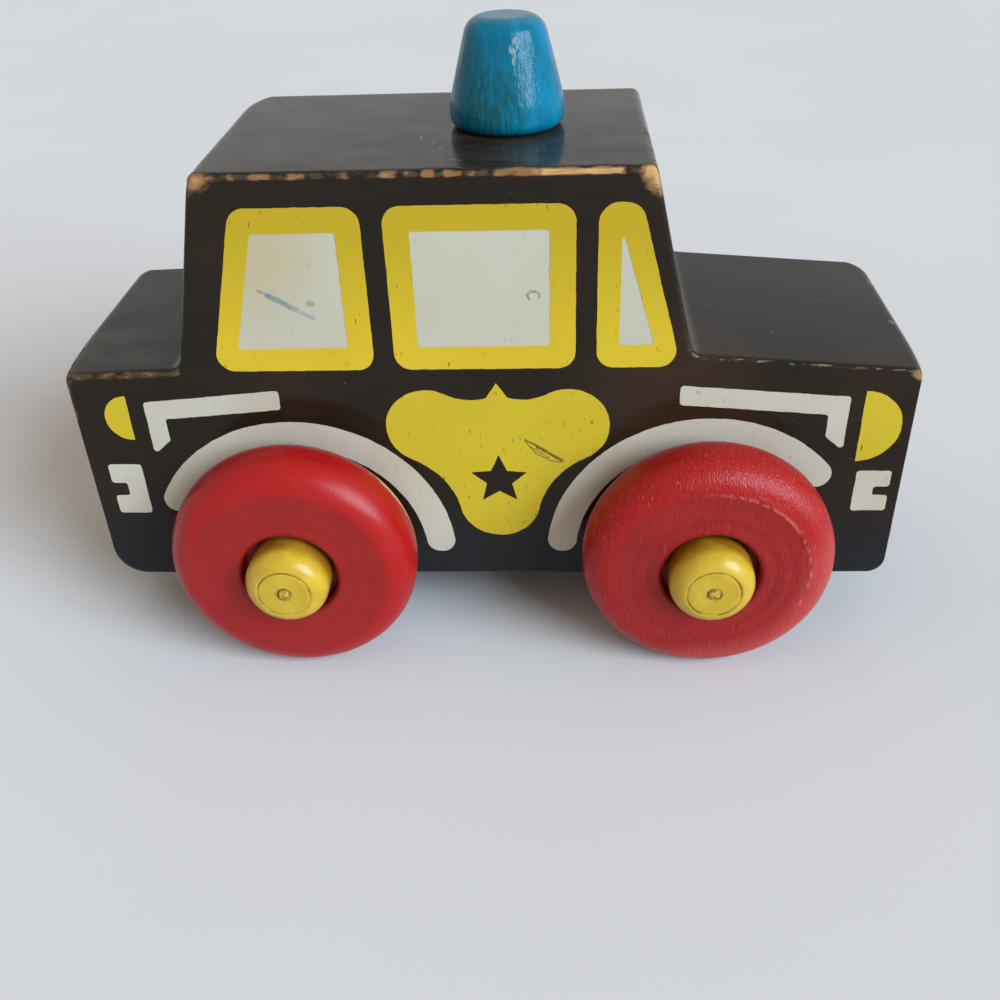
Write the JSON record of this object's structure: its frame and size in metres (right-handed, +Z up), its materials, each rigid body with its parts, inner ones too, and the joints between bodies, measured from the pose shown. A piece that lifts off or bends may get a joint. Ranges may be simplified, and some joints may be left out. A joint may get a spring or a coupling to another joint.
{
  "type": "toy police car",
  "caption": "Solid wooden toy police car with turned wheels that spin on headed pegs, a turned roof beacon and printed windows, arches and trim.",
  "frame": {"origin": "on the ground under the middle of the car", "axes": "+X towards the car's front, +Y towards the car's left side, +Z up"},
  "size_m": [0.1284, 0.0754, 0.0918],
  "materials": {
    "black_paint": "brush-black gloss paint over wood, worn to bare wood on the edges",
    "red_paint": "red paint over turned wood, with the grain showing",
    "yellow_paint": "yellow gloss paint over turned wood",
    "blue_paint": "blue gloss paint over turned wood",
    "yellow_ink": "opaque screen-printed ink on wood",
    "white_ink": "opaque screen-printed ink on wood"
  },
  "bodies": {
    "car": {"body_block": "black_paint", "beacon": "blue_paint", "axle_peg_front_right": "yellow_paint", "axle_peg_front_left": "yellow_paint", "axle_peg_rear_right": "yellow_paint", "axle_peg_rear_left": "yellow_paint", "window_frames_right": "yellow_ink", "window_frames_left": "yellow_ink", "window_panes_right": "white_ink", "window_panes_left": "white_ink", "wheel_arches_right": "white_ink", "wheel_arches_left": "white_ink", "trim_lines_right": "white_ink", "trim_lines_left": "white_ink", "lamps_right": "yellow_ink", "lamps_left": "yellow_ink", "bumper_marks_right": "white_ink", "bumper_marks_left": "white_ink", "shield_right": "yellow_ink"},
    "front_right_wheel": {"wheel_front_right": "red_paint"},
    "front_left_wheel": {"wheel_front_left": "red_paint"},
    "rear_right_wheel": {"wheel_rear_right": "red_paint"},
    "rear_left_wheel": {"wheel_rear_left": "red_paint"}
  },
  "joints": [
    {"name": "front_right_spin", "type": "hinge", "parent": "car", "child": "front_right_wheel", "pos_m": [0.03355, -0.0274, 0.01905], "axis": [0, 1, 0], "continuous": true},
    {"name": "front_left_spin", "type": "hinge", "parent": "car", "child": "front_left_wheel", "pos_m": [0.03355, 0.0274, 0.01905], "axis": [0, 1, 0], "continuous": true},
    {"name": "rear_right_spin", "type": "hinge", "parent": "car", "child": "rear_right_wheel", "pos_m": [-0.03025, -0.0274, 0.01905], "axis": [0, 1, 0], "continuous": true},
    {"name": "rear_left_spin", "type": "hinge", "parent": "car", "child": "rear_left_wheel", "pos_m": [-0.03025, 0.0274, 0.01905], "axis": [0, 1, 0], "continuous": true}
  ]
}
